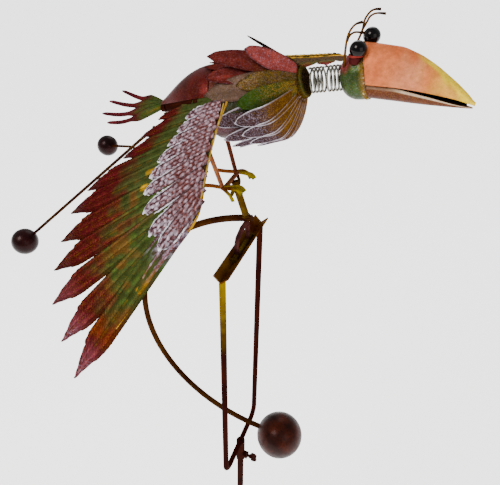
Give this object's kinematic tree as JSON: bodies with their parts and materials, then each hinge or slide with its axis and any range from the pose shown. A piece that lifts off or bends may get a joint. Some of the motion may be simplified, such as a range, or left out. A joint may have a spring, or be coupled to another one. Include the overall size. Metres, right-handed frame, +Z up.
{
  "type": "balancing garden bird",
  "caption": "Sheet-metal toucan that rocks in a V groove on a ground stake, with flapping wings, a spring neck and ball counterweights.",
  "frame": {"origin": "on the pole's axis at ground level, with the spikes below it", "axes": "+Z up along the pole, +X towards the beak with the yoke square to the bird, +Y to the bird's left"},
  "size_m": [0.563, 0.7127, 1.4025],
  "materials": {
    "dark_iron": "dark rusty brown, rough",
    "rusted_iron": "rust brown, rough",
    "olive_rod": "olive and brown patina",
    "copper_paint": "satin copper",
    "brown_copper": "satin dark copper",
    "red_paint": "mottled red over green, satin",
    "green_paint": "mottled green, satin",
    "grey_paint": "purple grey with pale dry-brushed edges",
    "gold_paint": "gold paint, satin",
    "spring_steel": "bright wire",
    "eye_gloss": "gloss black"
  },
  "bodies": {
    "stake": {"ground_fork": "dark_iron", "pole_lower": "dark_iron", "pole_coupling": "dark_iron", "pole_upper": "dark_iron"},
    "yoke": {"yoke_sleeve": "rusted_iron", "yoke_bail": "rusted_iron", "bearing_channel": "dark_iron", "channel_stops": "dark_iron", "screw_nut": "rusted_iron"},
    "thumb_screw": {"thumb_screw": "rusted_iron"},
    "rocker": {"pivot_bar": "dark_iron", "rocker_fork": "olive_rod", "perch_stem": "olive_rod", "counterweight_arm": "olive_rod", "counterweight_ball": "rusted_iron", "foot_crossbar": "copper_paint", "leg_left": "copper_paint", "leg_right": "copper_paint", "foot_left": "olive_rod", "foot_right": "olive_rod", "rear_body_shell": "red_paint", "front_body_shell": "green_paint", "neck_collar": "gold_paint", "back_feathers": "red_paint", "flank_feathers": "green_paint", "breast_feathers_inner": "grey_paint", "breast_feathers_outer": "grey_paint", "tail_fan": "green_paint", "wing_bracket_left": "rusted_iron", "wing_bracket_right": "rusted_iron", "hinge_pin_left": "spring_steel", "hinge_pin_right": "spring_steel", "neck_spring_rear": "spring_steel"},
    "neck": {"neck_spring_front": "spring_steel"},
    "head": {"head_shell": "green_paint", "beak_rim": "gold_paint", "beak_upper": "copper_paint", "beak_lower": "brown_copper", "eye_left": "eye_gloss", "eye_right": "eye_gloss", "eye_seats": "gold_paint", "lashes_left": "copper_paint", "lashes_right": "copper_paint"},
    "left_wing": {"left_flight_feathers": "red_paint", "left_coverts": "grey_paint", "left_edge_strip": "gold_paint", "left_hinge_tube": "rusted_iron", "left_counter_rod": "rusted_iron", "left_ball": "rusted_iron"},
    "right_wing": {"right_flight_feathers": "red_paint", "right_coverts": "grey_paint", "right_edge_strip": "gold_paint", "right_hinge_tube": "rusted_iron", "right_counter_rod": "rusted_iron", "right_ball": "rusted_iron"}
  },
  "joints": [
    {"name": "yoke_swivel", "type": "hinge", "parent": "stake", "child": "yoke", "pos_m": [0, 0, 0.38], "axis": [0, 0, 1], "continuous": true},
    {"name": "screw_turn", "type": "hinge", "parent": "yoke", "child": "thumb_screw", "pos_m": [0.015, 0, 0.379], "axis": [1, 0, 0], "continuous": true},
    {"name": "rocker_pitch", "type": "hinge", "parent": "yoke", "child": "rocker", "pos_m": [0, 0, 0.9], "axis": [0, 1, 0], "range_deg": [-16, 34]},
    {"name": "left_wing_flap", "type": "hinge", "parent": "rocker", "child": "left_wing", "pos_m": [0.01, 0.068, 1.148], "axis": [0.9511, 0, 0.309], "range_deg": [-14, 14]},
    {"name": "right_wing_flap", "type": "hinge", "parent": "rocker", "child": "right_wing", "pos_m": [0.01, -0.068, 1.148], "axis": [-0.9511, 0, -0.309], "range_deg": [-14, 14]},
    {"name": "neck_swing", "type": "hinge", "parent": "rocker", "child": "neck", "pos_m": [0.08647, 0, 1.15444], "axis": [-0.2419, 0, 0.9703], "range_deg": [-10, 10], "stiffness_Nm_per_rad": 2, "deforming": ["neck_spring_rear"]},
    {"name": "head_nod", "type": "hinge", "parent": "neck", "child": "head", "pos_m": [0.10443, 0, 1.15891], "axis": [0, 1, 0], "range_deg": [-10, 10], "stiffness_Nm_per_rad": 2, "springref_deg": -3.23, "deforming": ["neck_spring_front"]}
  ]
}
